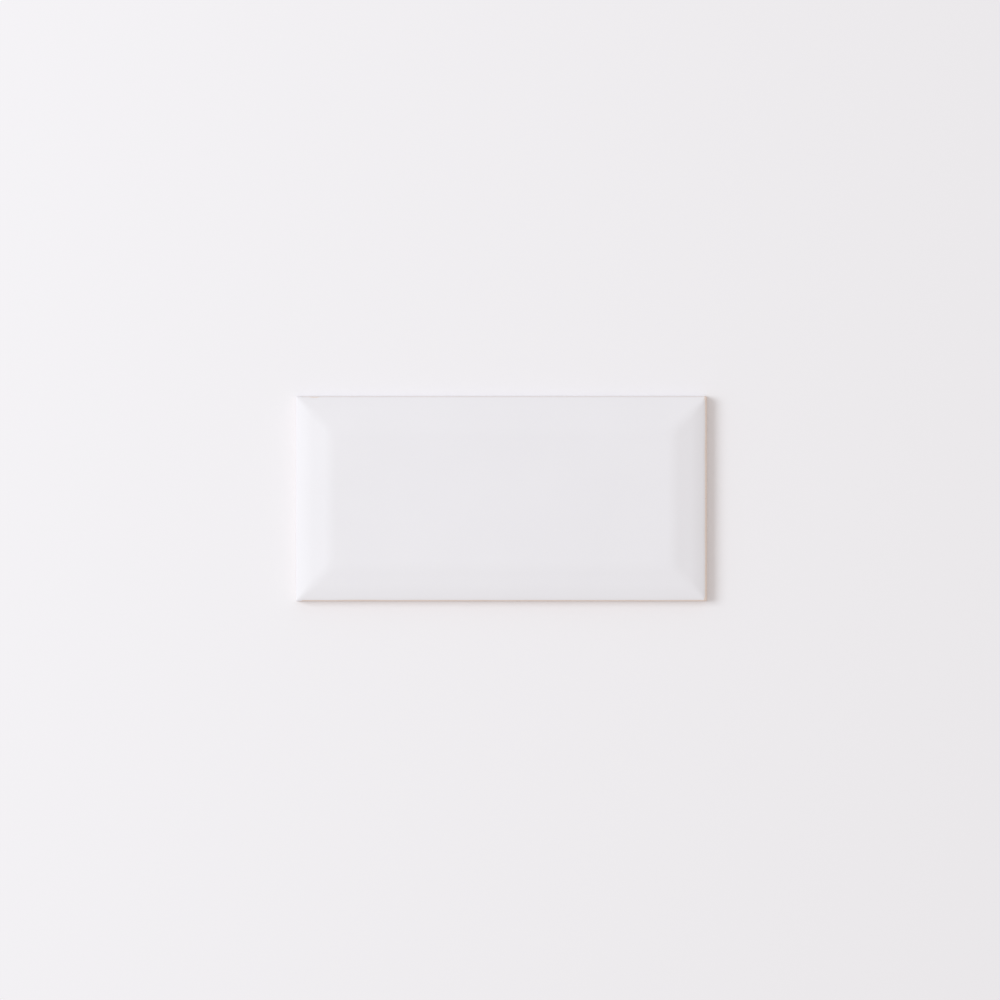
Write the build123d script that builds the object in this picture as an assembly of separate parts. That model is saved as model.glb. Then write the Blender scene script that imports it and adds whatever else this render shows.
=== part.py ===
from build123d import *
from math import cos, radians, sin, tan
import os

# Beveled wall tile, dust pressed and glazed: a flat field inside a broad bevel that steepens
# towards the edge. The back lies on Z = 0 and the glazed face looks up, +X is the length.

# Outline and height
length = 150.0
width = 75.0
thickness = 8.0

# Edge profile, from the wall inwards: a rounded arris, a roll that flattens from the rim's slope
# to the bevel's, the straight bevel, and a soft break on to the flat field
bevel_width = 12.5         # arris to the middle of the break
bevel_slope = 11.0         # degrees
rim_slope = 27.0           # degrees, where the roll meets the wall
roll_width = 6.2
break_width = 4.2
arris_radius = 0.7

# Plan corners: nearly sharp at the walls, softer up the hips and around the field
wall_corner = 0.5
hip_corner = 2.3

# Pressed sides: draft that frees the die, and the broken lower edge
side_draft = 6.0           # degrees
foot_break = 0.4

# Keyed back: a grid of shallow pockets that grips the adhesive, inside a plain margin
key_margin = 6.0
key_land = 2.6
key_pitch = 11.5           # wished for, then evened out to fill the back
key_depth = 0.7
key_corner = 1.6           # cut across each corner of a pocket
key_taper = 20.0           # degrees

# The profile is drawn with X inwards from the rim and Y upwards from the rim
roll_radius = roll_width / (sin(radians(rim_slope)) - sin(radians(bevel_slope)))
break_radius = break_width / sin(radians(bevel_slope))
straight_run = bevel_width - roll_width - break_radius * tan(radians(bevel_slope / 2))
rim_heading = (cos(radians(rim_slope)), sin(radians(rim_slope)))
roll = JernArc((0, 0), rim_heading, roll_radius, bevel_slope - rim_slope)
straight = Line(roll @ 1, (roll @ 1) + (straight_run, straight_run * tan(radians(bevel_slope))))
field_break = JernArc(straight @ 1, straight % 1, break_radius, -bevel_slope)
rim_height = thickness - (field_break @ 1).Y
rim_inset = (rim_height - foot_break) * tan(radians(side_draft))


def outline(inset, height, corner):
    return Pos(0, 0, height) * RectangleRounded(length - 2 * inset, width - 2 * inset, corner)


def crown_section(point):
    softening = min(1, point.X / roll_width)
    corner = wall_corner + (hip_corner - wall_corner) * softening
    return outline(rim_inset + point.X, rim_height + point.Y, corner)


# The crown is one skin through contours that climb the profile, so the hips stay soft
crown_points = [roll @ t for t in (0, 0.2, 0.4, 0.6, 0.8)]
crown_points += [straight @ t for t in (0, 0.5, 1)]
crown_points += [field_break @ t for t in (0.25, 0.5, 0.75, 1)]
crown = loft([crown_section(point) for point in crown_points])

# The drafted body stands on its broken foot
walls = loft(
    [
        outline(foot_break, 0, wall_corner),
        outline(0, foot_break, wall_corner),
        outline(rim_inset, rim_height, wall_corner),
    ],
    ruled=True,
)
tile = walls + crown

# The glaze rounds the arris where the roll meets the wall
rim_edges = [e for e in tile.edges() if all(abs(v.Z - rim_height) < foot_break / 2 for v in e.vertices())]
tile = fillet(rim_edges, arris_radius)


def key_count(span):
    # an even number, so that two lands cross at the middle of the back
    return max(2, 2 * round((span - 2 * key_margin + key_land) / key_pitch / 2))


# Pockets pressed into the back
key_x, key_y = key_count(length), key_count(width)
pitch_x = (length - 2 * key_margin + key_land) / key_x
pitch_y = (width - 2 * key_margin + key_land) / key_y
pocket_plan = Rectangle(pitch_x - key_land, pitch_y - key_land)
pocket_plan = chamfer(pocket_plan.vertices(), key_corner)
pocket = extrude(pocket_plan, key_depth, taper=key_taper)
tile -= GridLocations(pitch_x, pitch_y, key_x, key_y) * pocket

tile.label = "tile"
os.makedirs("parts", exist_ok=True)
export_step(tile, "parts/tile.step")
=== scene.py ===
from math import asin, copysign, cos, hypot, pi, radians, sin, sqrt, tan

import bmesh
import bpy
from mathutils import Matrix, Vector, noise


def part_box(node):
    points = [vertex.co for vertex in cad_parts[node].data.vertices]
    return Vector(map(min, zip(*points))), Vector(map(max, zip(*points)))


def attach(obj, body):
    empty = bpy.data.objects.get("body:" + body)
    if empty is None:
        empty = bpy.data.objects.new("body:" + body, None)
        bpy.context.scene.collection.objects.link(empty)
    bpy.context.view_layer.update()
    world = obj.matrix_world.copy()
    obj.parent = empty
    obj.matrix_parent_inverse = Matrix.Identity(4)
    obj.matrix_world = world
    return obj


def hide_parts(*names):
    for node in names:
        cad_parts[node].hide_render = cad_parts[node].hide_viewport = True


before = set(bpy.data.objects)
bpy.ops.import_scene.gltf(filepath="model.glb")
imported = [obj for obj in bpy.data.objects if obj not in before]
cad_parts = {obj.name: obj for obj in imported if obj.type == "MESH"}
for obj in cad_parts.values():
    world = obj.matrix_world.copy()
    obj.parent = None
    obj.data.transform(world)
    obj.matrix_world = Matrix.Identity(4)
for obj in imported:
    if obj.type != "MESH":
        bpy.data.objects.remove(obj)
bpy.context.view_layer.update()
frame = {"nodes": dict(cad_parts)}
print("frame loaded:", ", ".join(frame["nodes"]))

mm = 0.001
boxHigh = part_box("tile")[1]
halfLength, halfWidth = boxHigh.x / mm, boxHigh.y / mm

# The pressed and glazed tile. Lengths are millimetres and slopes degrees, as in the solid
tile = {
    "thickness": 8.0,
    "bevelWidth": 12.5,        # arris to the middle of the break
    "bevelSlope": 11.0,
    "rimSlope": 27.0,          # where the roll meets the wall
    "rollWidth": 6.2,
    "breakWidth": 4.2,
    "arrisRadius": 0.7,
    "arrisRings": 6,
    "wallCorner": 0.5,
    "hipCorner": 2.3,
    "sideDraft": 6.0,
    "wallRings": 11,
    "footBreak": 0.4,
    "footRings": 3,
    "firstCell": 0.125,        # grid spacing at the arris, growing over the bevel
    "firstCells": 4,           # of that spacing, across the plan corner
    "cellGrowth": 1.22,
    "bevelCell": 0.42,         # to this at most
    "fieldCell": 1.2,          # and over the flat field
    "waveHeight": 0.008,       # slow unevenness of the pressed and fired face
    "waveLength": 16.0,
    # where the glaze stops on each side, in from the top of the arris; minus is over it, down the wall
    "glazeRight": 0.4,
    "glazeLeft": -5.3,
    "glazeBack": -0.35,
    "glazeFront": -0.12,
    "wander": 0.12,            # how far the edge strays, and over what length
    "wanderLength": 7.0,
    # the lap of glaze down the left wall
    "lapTurn": 2.2,            # how soon it rises round the corners of that wall
    "lapRuns": 1.1,            # longer runs at its edge
    "lapRunLength": 5.0,
    "lapSkin": 0.09,           # its thickness
    "lapSkinFrom": 0.5,        # how far down it starts to gather
    "lapSkinFade": 0.4,        # and over what length it thins out to its edge
    "washFrom": 1.5,           # how far down it has become a wash
    "wash": 0.03,              # which hides the body no better than a glaze this near its edge
    # the back wall is glazed again low down, and over the arris above the glaze breaks to a veil
    "backGlaze": -1.1,         # from here down
    "backWander": 4.0,         # times what the other edges wander
    "veil": 0.03,              # as thin as a glaze this near its edge
    "nickPlace": -68.0,        # bare nick in that veil
    "nickHalfLength": 1.5,
    "nickDepth": 0.35,
    # the keyed back
    "keyMargin": 6.0,
    "keyLand": 2.6,
    "keyColumns": 12,
    "keyRows": 6,
    "keyCorner": 1.6,
    # inset and depth of each step down a pocket: soft rim, tapered wall, soft floor
    "keySteps": ((0.03, 0.03), (0.03, 0.07), (0.16, 0.44), (0.06, 0.1), (0.12, 0.06)),
}
beyondReach = 9.0              # millimetres, more than any edge of the glaze laps or wanders


def smooth(share):
    share = min(1, max(0, share))
    return share * share * (3 - 2 * share)


bevelAngle, rimAngle = radians(tile["bevelSlope"]), radians(tile["rimSlope"])
rollWidth, breakWidth = tile["rollWidth"], tile["breakWidth"]
rollRadius = rollWidth / (sin(rimAngle) - sin(bevelAngle))
breakRadius = breakWidth / sin(bevelAngle)
straightRun = tile["bevelWidth"] - rollWidth - breakRadius * tan(bevelAngle / 2)


def arcRise(radius, slope, run):
    # height gained along an arc that sets out at this slope and flattens
    return radius * (sqrt(1 - (sin(slope) - run / radius) ** 2) - cos(slope))


def crownRise(inset):
    # the roll, the straight bevel and the soft break, climbed from the rim inwards
    onStraight = min(max(inset - rollWidth, 0), straightRun)
    onBreak = min(max(inset - rollWidth - straightRun, 0), breakWidth)
    return (
        arcRise(rollRadius, rimAngle, min(inset, rollWidth))
        + onStraight * tan(bevelAngle)
        + arcRise(breakRadius, bevelAngle, onBreak)
    )


rimHeight = tile["thickness"] - crownRise(halfWidth)
draft = tan(radians(tile["sideDraft"]))
rimInset = (rimHeight - tile["footBreak"]) * draft
corner = tile["wallCorner"]
tolerance = 1e-4
pointLimit = 1e5               # more points than the mesh has


def crownInset(x, y):
    # how far inside the rim a point lies; near a hip both walls count, which keeps the hip soft, and
    # a few rounds settle it, because the turn there widens with the inset
    fromEnd, fromSide = halfLength - rimInset - abs(x), halfWidth - rimInset - abs(y)
    inset = min(fromEnd, fromSide)
    for _ in range(4):
        turn = corner + (tile["hipCorner"] - corner) * min(1, max(0, inset) / rollWidth)
        apart = fromEnd - fromSide
        inset = min(fromEnd, fromSide)
        if abs(apart) < turn:
            inset = (fromEnd + fromSide + sqrt(2 * turn**2 - apart**2)) / 2 - turn
    return inset


# The arris is an arc between the roll and the drafted wall
arrisRadius = tile["arrisRadius"]
wallAngle = pi / 2 - radians(tile["sideDraft"])
arrisInset = arrisRadius * tan((wallAngle - rimAngle) / 2) * cos(rimAngle)
arrisAngle = asin(sin(rimAngle) - arrisInset / rollRadius)
arrisHeight = rimHeight + crownRise(arrisInset)
gridX, gridY = halfLength - rimInset - arrisInset, halfWidth - rimInset - arrisInset

# Grid lines, counted in from the crown's outline
edgeLines = [0.0]
while edgeLines[-1] < tile["bevelWidth"] + breakWidth / 2:
    growth = tile["cellGrowth"] ** max(0, len(edgeLines) - tile["firstCells"])
    edgeLines.append(edgeLines[-1] + min(tile["bevelCell"], tile["firstCell"] * growth))
edgeCells = len(edgeLines) - 1


def gridCount(reach):
    return 2 * (edgeCells + round((reach - edgeLines[-1]) / tile["fieldCell"]))


def gridPlace(share, count, reach):
    step = round(share * count)
    fromEnd = min(step, count - step)
    if fromEnd <= edgeCells:
        place = reach - edgeLines[fromEnd]
    else:
        place = (reach - edgeLines[-1]) * (1 - (fromEnd - edgeCells) / (count / 2 - edgeCells))
    return place if step > count / 2 else -place


def glazeCover(x, y, reach):
    # millimetres of glaze past its edge, which laps down the left wall, stops short of the right
    # arris, and takes up again low on the back wall
    fromSide = halfWidth - abs(y)
    line = tile["glazeBack"] if y > 0 else tile["glazeFront"]
    # each side's edge gives way to the next one's at the corner's mitre
    toLeft = smooth(1 - (halfLength + x - fromSide) / tile["lapTurn"])
    toRight = smooth(1 - (halfLength - x - fromSide))
    line += (tile["glazeLeft"] - line) * toLeft + (tile["glazeRight"] - line) * toRight
    # each noise reads a slice of its own
    wander = tile["wander"] * noise.noise(Vector((x, y, 3.0)) / tile["wanderLength"])
    runs = tile["lapRuns"] * toLeft * noise.noise(Vector((x, y, 9.0)) / tile["lapRunLength"])
    line += wander + runs
    if y < 0:
        return reach - line
    # the nick is bare in its middle and fades out a little past its ends
    nicked = smooth(1.5 - abs(x - tile["nickPlace"]) / tile["nickHalfLength"])
    veil = tile["veil"] * (1 - nicked)
    low = tile["backGlaze"] + tile["backWander"] * wander - reach
    return max(reach - line - tile["nickDepth"] * nicked, max(veil, low) - beyondReach * toRight)


def pressCrown(shape, cover):
    countX, countY = gridCount(gridX), gridCount(gridY)
    bmesh.ops.create_grid(shape, x_segments=countX, y_segments=countY, size=1)
    for vert in shape.verts:
        x = gridPlace((vert.co.x + 1) / 2, countX, gridX)
        y = gridPlace((vert.co.y + 1) / 2, countY, gridY)
        overX, overY = abs(x) - (gridX - corner), abs(y) - (gridY - corner)
        if overX > 0 and overY > 0:
            # round the plan corner
            pull = max(overX, overY) / hypot(overX, overY)
            x = copysign(gridX - corner + overX * pull, x)
            y = copysign(gridY - corner + overY * pull, y)
        inset = crownInset(x, y)
        wave = 1 + noise.noise(Vector((x, y, 0)) / tile["waveLength"])
        vert.co = (x, y, rimHeight + crownRise(inset) - tile["waveHeight"] * wave)
        vert[cover] = glazeCover(x, y, inset - arrisInset)


def outlinePlace(point):
    # a point of the crown's outline as its share of the straight core and its outward direction
    sideX, sideY = copysign(1, point.x), copysign(1, point.y)
    overX, overY = abs(point.x) - (gridX - corner), abs(point.y) - (gridY - corner)
    if min(overX, overY) > tolerance:
        outward = Vector((sideX * overX, sideY * overY)).normalized()
        return sideX, sideY, outward
    if overX > overY:
        return sideX, point.y / (gridY - corner), Vector((sideX, 0))
    return point.x / (gridX - corner), sideY, Vector((0, sideY))


def dropRing(shape, cover, ring, places, inset, height, reach):
    # extrudes the open edge to the next ring down the section; reach is the way there from the arris
    grown = bmesh.ops.extrude_edge_only(shape, edges=ring)["geom"]
    moved = {}
    for vert in (g for g in grown if isinstance(g, bmesh.types.BMVert)):
        coreX, coreY, outward = places[vert.co.copy().freeze()]
        x = coreX * (halfLength - inset - corner) + corner * outward.x
        y = coreY * (halfWidth - inset - corner) + corner * outward.y
        covered = glazeCover(x, y, reach)
        skin = smooth(covered / tile["lapSkinFade"]) * smooth(-reach - tile["lapSkinFrom"])
        lap = min(inset, tile["lapSkin"] * skin)
        vert.co = (x + outward.x * lap, y + outward.y * lap, height)
        # the lap is a wash down the left wall and round its front corner, not on the back wall
        washed = max(tile["wash"], tile["washFrom"] + reach + beyondReach * max(0, outward.y))
        vert[cover] = min(covered, washed)
        moved[vert.co.copy().freeze()] = (coreX, coreY, outward)
    return [g for g in grown if isinstance(g, bmesh.types.BMEdge)], moved


def pressSides(shape, cover):
    ring = [edge for edge in shape.edges if edge.is_boundary]
    outline = {vert for edge in ring for vert in edge.verts}
    places = {vert.co.copy().freeze(): outlinePlace(vert.co) for vert in outline}
    # the arris
    centreInset = rimInset + arrisInset + arrisRadius * sin(arrisAngle)
    centreHeight = arrisHeight - arrisRadius * cos(arrisAngle)
    for step in range(1, tile["arrisRings"] + 1):
        angle = arrisAngle + (wallAngle - arrisAngle) * step / tile["arrisRings"]
        inset, height = centreInset - arrisRadius * sin(angle), centreHeight + arrisRadius * cos(angle)
        reach = -arrisRadius * (angle - arrisAngle)
        ring, places = dropRing(shape, cover, ring, places, inset, height, reach)
    # the drafted wall
    foot, wallTop, arrisReach = tile["footBreak"], height, reach
    for step in range(1, tile["wallRings"] + 1):
        height = wallTop + (foot - wallTop) * step / tile["wallRings"]
        reach = arrisReach - (wallTop - height)
        ring, places = dropRing(shape, cover, ring, places, (height - foot) * draft, height, reach)
    # the worn foot
    for step in range(1, tile["footRings"] + 1):
        angle = pi / 2 * step / tile["footRings"]
        inset, height = foot * (1 - cos(angle)), foot * (1 - sin(angle))
        ring, places = dropRing(shape, cover, ring, places, inset, height, reach - foot * angle)


def pressPockets():
    # one pocket with cut corners, pushed in step by step, then copied over the back
    pitchX = (2 * (halfLength - tile["keyMargin"]) + tile["keyLand"]) / tile["keyColumns"]
    pitchY = (2 * (halfWidth - tile["keyMargin"]) + tile["keyLand"]) / tile["keyRows"]
    pocket = bmesh.new()
    bmesh.ops.create_grid(pocket, x_segments=1, y_segments=1, size=0.5)
    size = (pitchX - tile["keyLand"], pitchY - tile["keyLand"], 1)
    bmesh.ops.scale(pocket, vec=size, verts=pocket.verts)
    bmesh.ops.bevel(
        pocket, geom=pocket.verts[:], offset=tile["keyCorner"], offset_type="OFFSET",
        segments=1, profile=0.5, affect="VERTICES", material=-1,
    )
    floor = pocket.faces[:]
    for inset, depth in tile["keySteps"]:
        bmesh.ops.inset_individual(pocket, faces=floor, thickness=inset, depth=depth)
    first = pocket.verts[:] + pocket.edges[:] + pocket.faces[:]
    start = Vector((-pitchX * (tile["keyColumns"] - 1) / 2, -pitchY * (tile["keyRows"] - 1) / 2, 0))
    for column in range(tile["keyColumns"]):
        for row in range(tile["keyRows"]):
            copy = bmesh.ops.duplicate(pocket, geom=first)["geom"]
            place = start + Vector((pitchX * column, pitchY * row, 0))
            verts = [g for g in copy if isinstance(g, bmesh.types.BMVert)]
            bmesh.ops.translate(pocket, vec=place, verts=verts)
    bmesh.ops.delete(pocket, geom=[g for g in first if isinstance(g, bmesh.types.BMVert)], context="VERTS")
    mesh = bpy.data.meshes.new("pockets")
    pocket.to_mesh(mesh)
    pocket.free()
    return mesh


def joins(part):
    # a number that says which points an edge or a face joins
    order = 0
    for index in sorted(vert.index for vert in part.verts)[:3]:
        order = order * pointLimit + index
    return order


def buildTile():
    shape = bmesh.new()
    cover = shape.verts.layers.float.new("glazeCover")
    pressCrown(shape, cover)
    print("crown pressed:", len(shape.verts), "points")
    pressSides(shape, cover)
    crownAndSides = set(shape.faces)
    pockets = pressPockets()
    shape.from_mesh(pockets)
    bpy.data.meshes.remove(pockets)
    openEdges = [edge for edge in shape.edges if edge.is_boundary]
    land = bmesh.ops.triangle_fill(shape, use_beauty=True, edges=openEdges)["geom"]
    land = {g for g in land if isinstance(g, bmesh.types.BMFace)}
    for face in shape.faces:
        face.smooth = face not in land
        face.material_index = int(face not in crownAndSides)
    bmesh.ops.recalc_face_normals(shape, faces=shape.faces[:])
    bmesh.ops.scale(shape, vec=(mm, mm, mm), verts=shape.verts)
    # extruding leaves edges and faces in another order each run
    shape.verts.index_update()
    shape.edges.sort(key=joins)
    shape.faces.sort(key=joins)
    openLeft = sum(not edge.is_manifold for edge in shape.edges)
    mesh = bpy.data.meshes.new("glazedTile")
    shape.to_mesh(mesh)
    shape.free()
    print("tile pressed:", len(mesh.polygons), "faces,", openLeft, "open edges")
    piece = bpy.data.objects.new("glazedTile", mesh)
    bpy.context.scene.collection.objects.link(piece)
    return piece


def linear(hexColour):
    # an sRGB colour as the light that a shader takes
    channels = [int(hexColour[i : i + 2], 16) / 255 for i in (1, 3, 5)]
    return (*[c / 12.92 if c <= 0.04045 else ((c + 0.055) / 1.055) ** 2.4 for c in channels], 1)


def perSize(size):
    # texture scale that makes a feature about this many millimetres across
    return 1 / (size * mm)


def addNode(tree, kind, settings=None, links=None):
    # a setting is a property of the node, or else a socket's value by the socket's name or number
    node = tree.nodes.new(kind)
    for name, value in (settings or {}).items():
        if isinstance(name, str) and hasattr(node, name):
            setattr(node, name, value)
        else:
            node.inputs[name].default_value = value
    for name, socket in (links or {}).items():
        tree.links.new(socket, node.inputs[name])
    return node


def newMaterial(name):
    material = bpy.data.materials.new(name)
    material.use_nodes = True
    tree = material.node_tree
    tree.nodes.clear()
    coords = addNode(tree, "ShaderNodeTexCoord").outputs["Object"]
    return material, tree, coords


# sockets of a Mix node, which has a pair for values and another for colours
mixShare, valueA, valueB, colourA, colourB, colourOut = 0, 2, 3, 6, 7, 2

# Buff earthenware body, dust pressed and fired: dry, pinkish tan and finely granular, with a few
# darker grains, drag marks up the sides from the die, and a paler kiln wash on the lands of the back, which
# is also painted shade in the pockets between them
bodyLook = {
    "colour": "#EADCD3",
    "shade": "#DFCBC0",
    "grainColour": "#B8A08C",
    # paler colour on the lands and foot: kiln wash, and also painted shade in the pockets, which it leaves
    # darker
    "washAndPocketShadeColour": "#F3EDE7",
    # millimetres; granules and drag marks are finer in life, and drawn this coarse to show up close
    "washHeight": 0.25,        # that the wash reaches above the foot
    "cloudSize": 6.0,
    "granuleSize": 0.35,
    "granuleDepth": 0.045,
    "dragSpacing": 0.5,
    "grainSpacing": 1.3,
    # shares
    "grainRagged": 0.5,        # how far the granules break up the outline of a darker grain
    "dragLength": 12.0,        # how many times longer than wide a drag mark is
    "dragShare": 0.4,          # of the relief, the rest is granules
    "mottle": 2.4,             # how strongly the relief and the clouds shade the colour
    "clouds": 0.5,
    "grainStrength": 0.8,
    # where a darker grain fades in and is full, as shares of its spacing
    "grainEdge": (0.35, 0.26),
    # how high the clouds are where a patch of wash fades in and is full
    "washPatches": (0.4, 0.65),
    "washCover": (0.25, 0.7),  # between its patches and in them
    "roughness": 0.92,
}

# Satin white tin glaze, sprayed and fired: cool, even and opaque, with a low broad sheen. It ends in
# a rounded lip and thins at its edge, where the warm body tints it
glazeLook = {
    "colour": "#EEECF0",
    "cloud": "#EBE9ED",
    "thinColour": "#E1D6CB",
    # millimetres
    "cloudSize": 24.0,
    "ragged": 0.12,            # how far the body's granules roughen its edge
    "edgeStart": 0.02,         # where it starts to cover the body, and where it covers it fully
    "edgeEnd": 0.12,
    "thinWidth": 0.25,
    "lipHeight": 0.08,         # how proud its edge stands, and how far in it is rounded
    "lipWidth": 0.8,
    "rippleSize": 1.7,
    "rippleDepth": 0.002,
    # shares
    "thinTint": 0.6,
    "roughness": 0.67,
    "roughnessSpread": 0.05,
    "ior": 1.52,
}


def bodyNodes(tree, coords):
    clouds = addNode(
        tree, "ShaderNodeTexNoise",
        {"Scale": perSize(bodyLook["cloudSize"]), "Detail": 3.0}, {"Vector": coords},
    )
    granules = addNode(
        tree, "ShaderNodeTexNoise",
        {"Scale": perSize(bodyLook["granuleSize"]), "Detail": 4.0, "Roughness": 0.6}, {"Vector": coords},
    )
    along = addNode(
        tree, "ShaderNodeMapping", {"Scale": (1.0, 1.0, 1 / bodyLook["dragLength"])}, {"Vector": coords},
    )
    drags = addNode(
        tree, "ShaderNodeTexNoise",
        {"Scale": perSize(bodyLook["dragSpacing"]), "Detail": 2.0}, {"Vector": along.outputs[0]},
    )
    relief = addNode(
        tree, "ShaderNodeMix", {"data_type": "FLOAT", mixShare: bodyLook["dragShare"]},
        {valueA: granules.outputs["Fac"], valueB: drags.outputs["Fac"]},
    )
    # both noises lie around a half, and so does their sum
    middle = 0.5 - bodyLook["mottle"] / 2 - bodyLook["clouds"] / 2
    mottle = addNode(
        tree, "ShaderNodeMath", {"operation": "MULTIPLY_ADD", 1: bodyLook["mottle"], 2: middle},
        {0: relief.outputs[0]},
    )
    mottle = addNode(
        tree, "ShaderNodeMath", {"operation": "MULTIPLY_ADD", 1: bodyLook["clouds"]},
        {0: clouds.outputs["Fac"], 2: mottle.outputs[0]},
    )
    base = addNode(
        tree, "ShaderNodeMix",
        {"data_type": "RGBA", colourA: linear(bodyLook["colour"]), colourB: linear(bodyLook["shade"])},
        {mixShare: mottle.outputs[0]},
    )
    grains = addNode(
        tree, "ShaderNodeTexVoronoi", {"Scale": perSize(bodyLook["grainSpacing"])}, {"Vector": coords},
    )
    grainReach = addNode(
        tree, "ShaderNodeMath", {"operation": "MULTIPLY_ADD", 1: bodyLook["grainRagged"]},
        {0: granules.outputs["Fac"], 2: grains.outputs["Distance"]},
    )
    fadeIn, full = bodyLook["grainEdge"]
    grainMask = addNode(
        tree, "ShaderNodeMapRange",
        {"From Min": fadeIn, "From Max": full, "To Max": bodyLook["grainStrength"]},
        {"Value": grainReach.outputs[0]},
    )
    grained = addNode(
        tree, "ShaderNodeMix", {"data_type": "RGBA", colourB: linear(bodyLook["grainColour"])},
        {mixShare: grainMask.outputs[0], colourA: base.outputs[colourOut]},
    )
    # patchy kiln wash, only on what stood on the kiln's rollers; by leaving the pockets darker than the
    # lands it is also painted shade in the pockets
    height = addNode(tree, "ShaderNodeSeparateXYZ", None, {0: coords})
    low = addNode(
        tree, "ShaderNodeMapRange", {"From Min": bodyLook["washHeight"] * mm, "From Max": 0.0},
        {"Value": height.outputs["Z"]},
    )
    fadeIn, full = bodyLook["washPatches"]
    between, within = bodyLook["washCover"]
    patches = addNode(
        tree, "ShaderNodeMapRange",
        {"From Min": fadeIn, "From Max": full, "To Min": between, "To Max": within},
        {"Value": clouds.outputs["Fac"]},
    )
    washed = addNode(
        tree, "ShaderNodeMath", {"operation": "MULTIPLY"}, {0: low.outputs[0], 1: patches.outputs[0]},
    )
    colour = addNode(
        tree, "ShaderNodeMix", {"data_type": "RGBA", colourB: linear(bodyLook["washAndPocketShadeColour"])},
        {mixShare: washed.outputs[0], colourA: grained.outputs[colourOut]},
    )
    return colour.outputs[colourOut], relief.outputs[0]


def firedBody():
    material, tree, coords = newMaterial("firedBuffEarthenware")
    colour, granules = bodyNodes(tree, coords)
    bump = addNode(
        tree, "ShaderNodeBump", {"Distance": bodyLook["granuleDepth"] * mm}, {"Height": granules},
    )
    shader = addNode(
        tree, "ShaderNodeBsdfPrincipled", {"Roughness": bodyLook["roughness"]},
        {"Base Color": colour, "Normal": bump.outputs[0]},
    )
    addNode(tree, "ShaderNodeOutputMaterial", None, {"Surface": shader.outputs[0]})
    return material


def satinGlaze():
    material, tree, coords = newMaterial("satinWhiteGlaze")
    body, granules = bodyNodes(tree, coords)
    clouds = addNode(
        tree, "ShaderNodeTexNoise",
        {"Scale": perSize(glazeLook["cloudSize"]), "Detail": 2.0}, {"Vector": coords},
    )
    ripple = addNode(
        tree, "ShaderNodeTexNoise",
        {"Scale": perSize(glazeLook["rippleSize"]), "Detail": 1.0}, {"Vector": coords},
    )
    glaze = addNode(
        tree, "ShaderNodeMix",
        {"data_type": "RGBA", colourA: linear(glazeLook["colour"]), colourB: linear(glazeLook["cloud"])},
        {mixShare: clouds.outputs["Fac"]},
    )
    # millimetres of glaze past its edge, roughened by the body's granules
    cover = addNode(tree, "ShaderNodeAttribute", {"attribute_name": "glazeCover"})
    ragged = addNode(
        tree, "ShaderNodeMath", {"operation": "MULTIPLY_ADD", 1: glazeLook["ragged"]},
        {0: granules, 2: cover.outputs["Fac"]},
    )
    covered = addNode(
        tree, "ShaderNodeMapRange",
        {"From Min": glazeLook["edgeStart"], "From Max": glazeLook["edgeEnd"]},
        {"Value": ragged.outputs[0]},
    )
    thin = addNode(
        tree, "ShaderNodeMapRange",
        {"From Min": glazeLook["thinWidth"], "From Max": 0.0, "To Max": glazeLook["thinTint"]},
        {"Value": ragged.outputs[0]},
    )
    tinted = addNode(
        tree, "ShaderNodeMix", {"data_type": "RGBA", colourB: linear(glazeLook["thinColour"])},
        {mixShare: thin.outputs[0], colourA: glaze.outputs[colourOut]},
    )
    colour = addNode(
        tree, "ShaderNodeMix", {"data_type": "RGBA"},
        {mixShare: covered.outputs[0], colourA: body, colourB: tinted.outputs[colourOut]},
    )
    glazeRoughness = addNode(
        tree, "ShaderNodeMapRange",
        {
            "To Min": glazeLook["roughness"] - glazeLook["roughnessSpread"],
            "To Max": glazeLook["roughness"] + glazeLook["roughnessSpread"],
        },
        {"Value": ripple.outputs["Fac"]},
    )
    roughness = addNode(
        tree, "ShaderNodeMix", {"data_type": "FLOAT", valueA: bodyLook["roughness"]},
        {mixShare: covered.outputs[0], valueB: glazeRoughness.outputs[0]},
    )
    depth = addNode(
        tree, "ShaderNodeMapRange",
        {"To Min": bodyLook["granuleDepth"] * mm, "To Max": 0.0}, {"Value": covered.outputs[0]},
    )
    bodyBump = addNode(
        tree, "ShaderNodeBump", None, {"Height": granules, "Distance": depth.outputs[0]},
    )
    lip = addNode(
        tree, "ShaderNodeMapRange",
        {"interpolation_type": "SMOOTHSTEP", "From Min": 0.0, "From Max": glazeLook["lipWidth"]},
        {"Value": ragged.outputs[0]},
    )
    lipBump = addNode(
        tree, "ShaderNodeBump", {"Distance": glazeLook["lipHeight"] * mm},
        {"Height": lip.outputs[0], "Normal": bodyBump.outputs[0]},
    )
    bump = addNode(
        tree, "ShaderNodeBump", {"Distance": glazeLook["rippleDepth"] * mm},
        {"Height": ripple.outputs["Fac"], "Normal": lipBump.outputs[0]},
    )
    shader = addNode(
        tree, "ShaderNodeBsdfPrincipled", {"IOR": glazeLook["ior"]},
        {
            "Base Color": colour.outputs[colourOut],
            "Roughness": roughness.outputs[0],
            "Normal": bump.outputs[0],
        },
    )
    addNode(tree, "ShaderNodeOutputMaterial", None, {"Surface": shader.outputs[0]})
    return material


tilePiece = buildTile()
tilePiece.data.materials.append(satinGlaze())
tilePiece.data.materials.append(firedBody())
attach(tilePiece, "root")
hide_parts("tile")
print("tile glazed")

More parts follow.
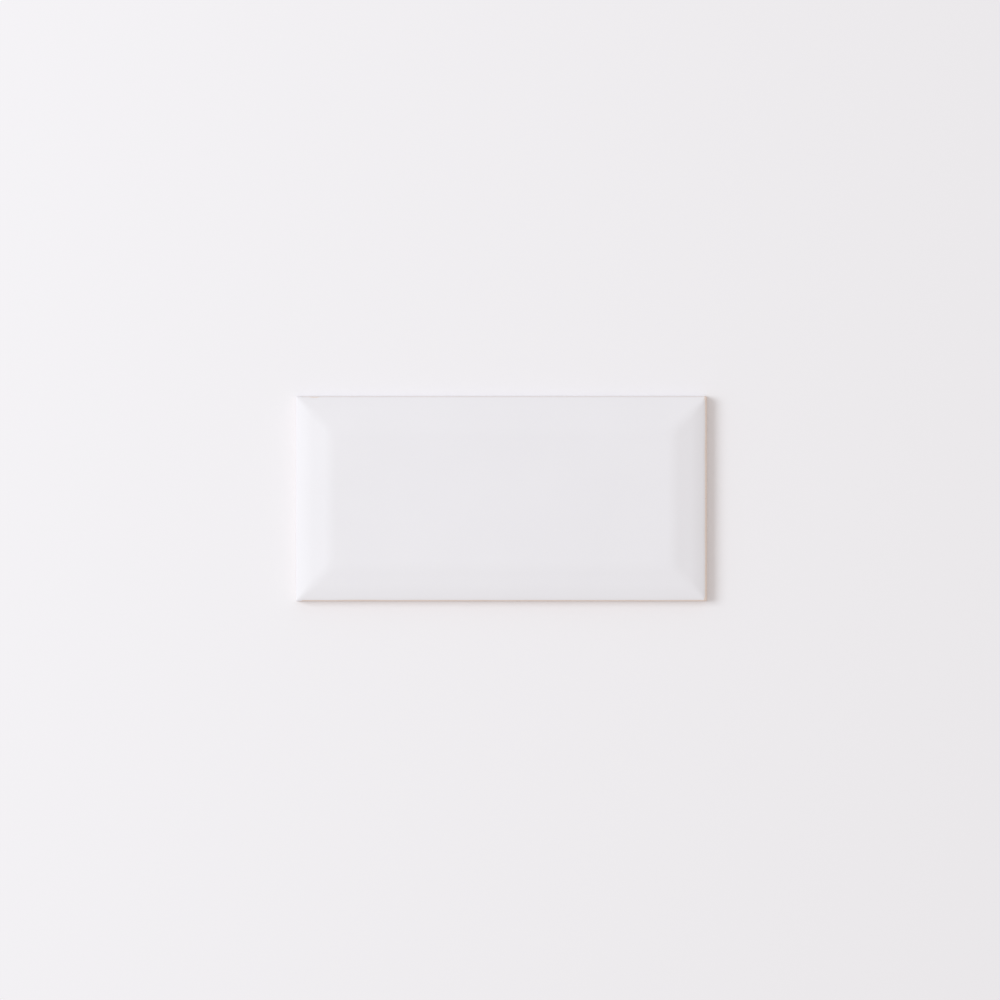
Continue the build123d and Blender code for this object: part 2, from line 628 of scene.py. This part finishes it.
# Studio: a matt pale sweep, one broad soft lamp up to the left, and even fill all round. Lengths are
# metres
studio = {
    "floorColour": "#F3F1F4",
    "floorRoughness": 0.9,
    "floorSize": 6.0,
    "openingInset": 0.28,      # millimetres in from the outline of the tile
    "fill": 0.674,             # even light from all round
    "fillColour": "#FFFBF8",
    "backdrop": "#EFEDEF",
    "lampColour": "#F2FAFF",
    "lampTowards": (-1.0, 0.2, 1.0),
    "lampDistance": 2.4,
    "lampSize": 1.35,
    "lampLevel": 0.3548,       # share of the light on the floor that the lamp gives
    "cameraHeight": 0.8117,
    "cameraPlace": (-0.0006, -0.00048),
    "lens": 80.0,
}


def buildFloor():
    # a sheet of nine cells, with the middle one cut out under the tile, so that the keyed back is lit
    # when it is looked at from below
    reach = studio["floorSize"] / 2
    openX = (halfLength - studio["openingInset"]) * mm
    openY = (halfWidth - studio["openingInset"]) * mm
    shape = bmesh.new()
    bmesh.ops.create_grid(shape, x_segments=3, y_segments=3, size=reach)
    middle = min(shape.faces, key=lambda face: face.calc_center_median().length)
    for vert in middle.verts:
        vert.co = (copysign(openX, vert.co.x), copysign(openY, vert.co.y), 0)
    bmesh.ops.bevel(
        shape, geom=middle.verts[:], offset=corner * mm, offset_type="OFFSET",
        segments=4, profile=0.5, affect="VERTICES", material=-1,
    )
    middle = min(shape.faces, key=lambda face: face.calc_center_median().length)
    bmesh.ops.delete(shape, geom=[middle], context="FACES_ONLY")
    mesh = bpy.data.meshes.new("studioFloor")
    shape.to_mesh(mesh)
    shape.free()
    floor = bpy.data.objects.new("studioFloor", mesh)
    bpy.context.scene.collection.objects.link(floor)
    material, tree, _ = newMaterial("mattSweep")
    shader = addNode(
        tree, "ShaderNodeBsdfPrincipled",
        {
            "Base Color": linear(studio["floorColour"]),
            "Roughness": studio["floorRoughness"],
            "Specular IOR Level": 0.0,
        },
    )
    # and clear from below
    fromBelow = addNode(tree, "ShaderNodeNewGeometry").outputs["Backfacing"]
    clear = addNode(tree, "ShaderNodeBsdfTransparent")
    mixed = addNode(
        tree, "ShaderNodeMixShader", None, {0: fromBelow, 1: shader.outputs[0], 2: clear.outputs[0]},
    )
    addNode(tree, "ShaderNodeOutputMaterial", None, {"Surface": mixed.outputs[0]})
    mesh.materials.append(material)
    return floor


def lightStudio():
    towards = Vector(studio["lampTowards"]).normalized()
    lamp = bpy.data.lights.new("softLamp", "AREA")
    lamp.shape = "DISK"
    lamp.size = studio["lampSize"]
    lamp.color = linear(studio["lampColour"])[:3]
    # the watts that bring a white floor below it to that level
    lamp.energy = studio["lampLevel"] * (pi * studio["lampDistance"]) ** 2 / towards.z
    holder = bpy.data.objects.new("softLamp", lamp)
    holder.location = towards * studio["lampDistance"]
    holder.rotation_euler = towards.to_track_quat("Z", "Y").to_euler()
    bpy.context.scene.collection.objects.link(holder)
    # even fill; the camera and gloss see the pale backdrop instead
    world = bpy.data.worlds.new("studio")
    bpy.context.scene.world = world
    world.use_nodes = True
    tree = world.node_tree
    tree.nodes.clear()
    rays = addNode(tree, "ShaderNodeLightPath")
    seen = addNode(
        tree, "ShaderNodeMath", {"operation": "MAXIMUM"},
        {0: rays.outputs["Is Camera Ray"], 1: rays.outputs["Is Transmission Ray"]},
    )
    seen = addNode(
        tree, "ShaderNodeMath", {"operation": "MAXIMUM"},
        {0: seen.outputs[0], 1: rays.outputs["Is Glossy Ray"]},
    )
    fill = addNode(
        tree, "ShaderNodeBackground", {"Color": linear(studio["fillColour"]), "Strength": studio["fill"]},
    )
    backdrop = addNode(tree, "ShaderNodeBackground", {"Color": linear(studio["backdrop"])})
    mixed = addNode(
        tree, "ShaderNodeMixShader", None, {0: seen.outputs[0], 1: fill.outputs[0], 2: backdrop.outputs[0]},
    )
    addNode(tree, "ShaderNodeOutputWorld", None, {"Surface": mixed.outputs[0]})


def placeCamera():
    camera = bpy.data.cameras.new("overhead")
    camera.lens = studio["lens"]
    camera.sensor_width = 36.0
    camera.clip_start = 0.01
    holder = bpy.data.objects.new("overhead", camera)
    holder.location = (*studio["cameraPlace"], studio["cameraHeight"])
    bpy.context.scene.collection.objects.link(holder)
    bpy.context.scene.camera = holder


buildFloor()
lightStudio()
placeCamera()
bpy.context.scene.view_settings.view_transform = "Standard"
print("studio set")
